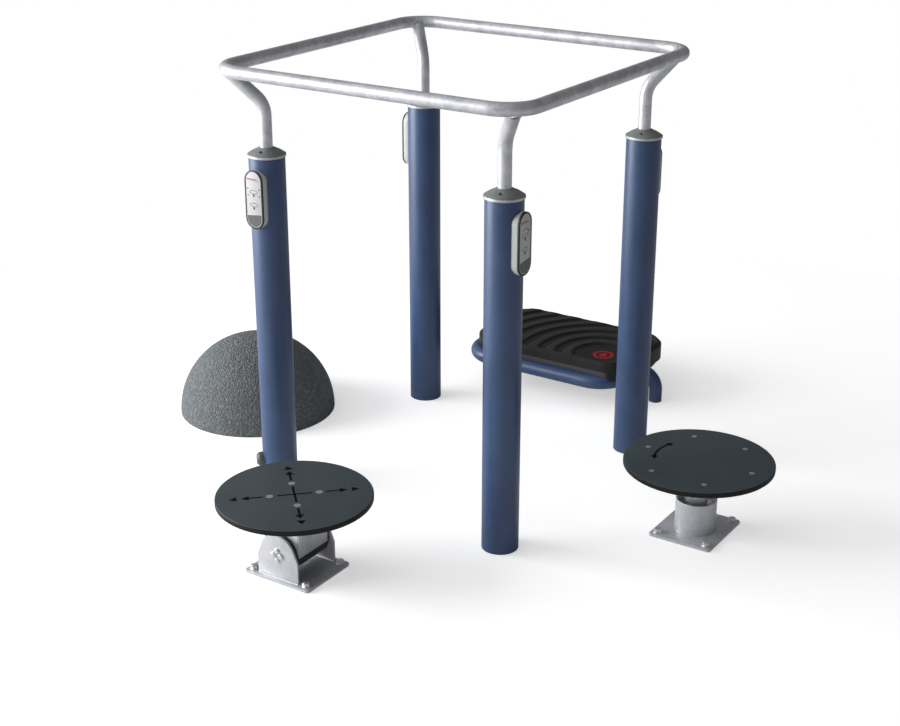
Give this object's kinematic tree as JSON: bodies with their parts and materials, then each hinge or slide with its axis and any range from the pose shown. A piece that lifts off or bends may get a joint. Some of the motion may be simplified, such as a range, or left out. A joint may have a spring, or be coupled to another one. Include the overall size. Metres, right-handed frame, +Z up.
{
  "type": "balance station",
  "caption": "Outdoor balance station: four round posts hold a square tube handrail, with a tilting disc, a spinning disc, a ribbed rubber step deck and a rubber dome around it.",
  "frame": {"origin": "Bottom centre of the whole part's box, on the ground", "axes": "+Z up; the tilting disc stands towards -Y, the spinning disc towards +X, the step deck towards +Y and the dome towards -X"},
  "size_m": [2.0386, 1.9624, 1.2471],
  "materials": {
    "galvanised": "hot-dip galvanised, mottled spangle",
    "blue_paint": "dark blue powder coat, satin",
    "cast_alloy": "grey-green coated casting",
    "sign_grey": "grey moulded plastic",
    "sign_black": "black moulded plastic",
    "sign_white": null,
    "zinc_bolt": "zinc plated steel",
    "rubber": "black torsion rubber",
    "black_paint": "black coated tube",
    "slate_board": "slate grey board, fine grain",
    "stainless": "stainless steel",
    "bearing_steel": "oiled bearing steel",
    "deck_rubber": "black moulded rubber",
    "granulate": "speckled rubber granulate"
  },
  "bodies": {
    "frame": {"handrail": "galvanised", "post_left": "blue_paint", "post_front": "blue_paint", "post_right": "blue_paint", "post_back": "blue_paint", "cap_left": "cast_alloy", "cap_front": "cast_alloy", "cap_right": "cast_alloy", "cap_back": "cast_alloy", "riser_left": "galvanised", "riser_front": "galvanised", "riser_right": "galvanised", "riser_back": "galvanised", "sign_bracket_left": "sign_grey", "sign_bracket_front": "sign_grey", "sign_bracket_right": "sign_grey", "sign_bracket_back": "sign_grey", "sign_rim_left": "sign_black", "sign_rim_front": "sign_black", "sign_rim_right": "sign_black", "sign_rim_back": "sign_black", "sign_plate_left": "sign_white", "sign_plate_front": "sign_white", "sign_plate_right": "sign_white", "sign_plate_back": "sign_white", "post_drain_cap": "cast_alloy", "tilt_base": "galvanised", "tilt_anchor_1": "zinc_bolt", "tilt_anchor_2": "zinc_bolt", "tilt_anchor_3": "zinc_bolt", "tilt_anchor_4": "zinc_bolt", "tilt_lower_core": "zinc_bolt", "tilt_lower_bush": "rubber", "spin_base": "galvanised", "spin_anchor_1": "zinc_bolt", "spin_anchor_2": "zinc_bolt", "spin_anchor_3": "zinc_bolt", "spin_anchor_4": "zinc_bolt", "spin_bearing": "bearing_steel", "step_frame": "blue_paint", "step_deck": "deck_rubber", "dome": "granulate"},
    "tilt_middle": {"tilt_lower_housing": "black_paint", "tilt_carrier": "galvanised", "tilt_upper_core": "zinc_bolt", "tilt_upper_bush": "rubber"},
    "tilt_top": {"tilt_head": "galvanised", "tilt_board": "slate_board", "tilt_screw_1": "stainless", "tilt_screw_2": "stainless", "tilt_screw_3": "stainless", "tilt_screw_4": "stainless"},
    "spin_top": {"spin_spindle": "galvanised", "spin_board": "slate_board", "spin_screw_1": "stainless", "spin_screw_2": "stainless", "spin_screw_3": "stainless", "spin_screw_4": "stainless", "spin_screw_5": "stainless", "spin_screw_6": "stainless"}
  },
  "joints": [
    {"name": "tilt_lower", "type": "hinge", "parent": "frame", "child": "tilt_middle", "pos_m": [0.02575, -0.77375, 0.076], "axis": [0, 1, 0], "range_deg": [-10, 10], "stiffness_Nm_per_rad": 300},
    {"name": "tilt_upper", "type": "hinge", "parent": "tilt_middle", "child": "tilt_top", "pos_m": [0.02575, -0.77375, 0.157], "axis": [1, 0, 0], "range_deg": [-10, 10], "stiffness_Nm_per_rad": 300},
    {"name": "spin", "type": "hinge", "parent": "frame", "child": "spin_top", "pos_m": [0.81175, 0.01225, 0.199], "axis": [0, 0, 1], "continuous": true}
  ]
}
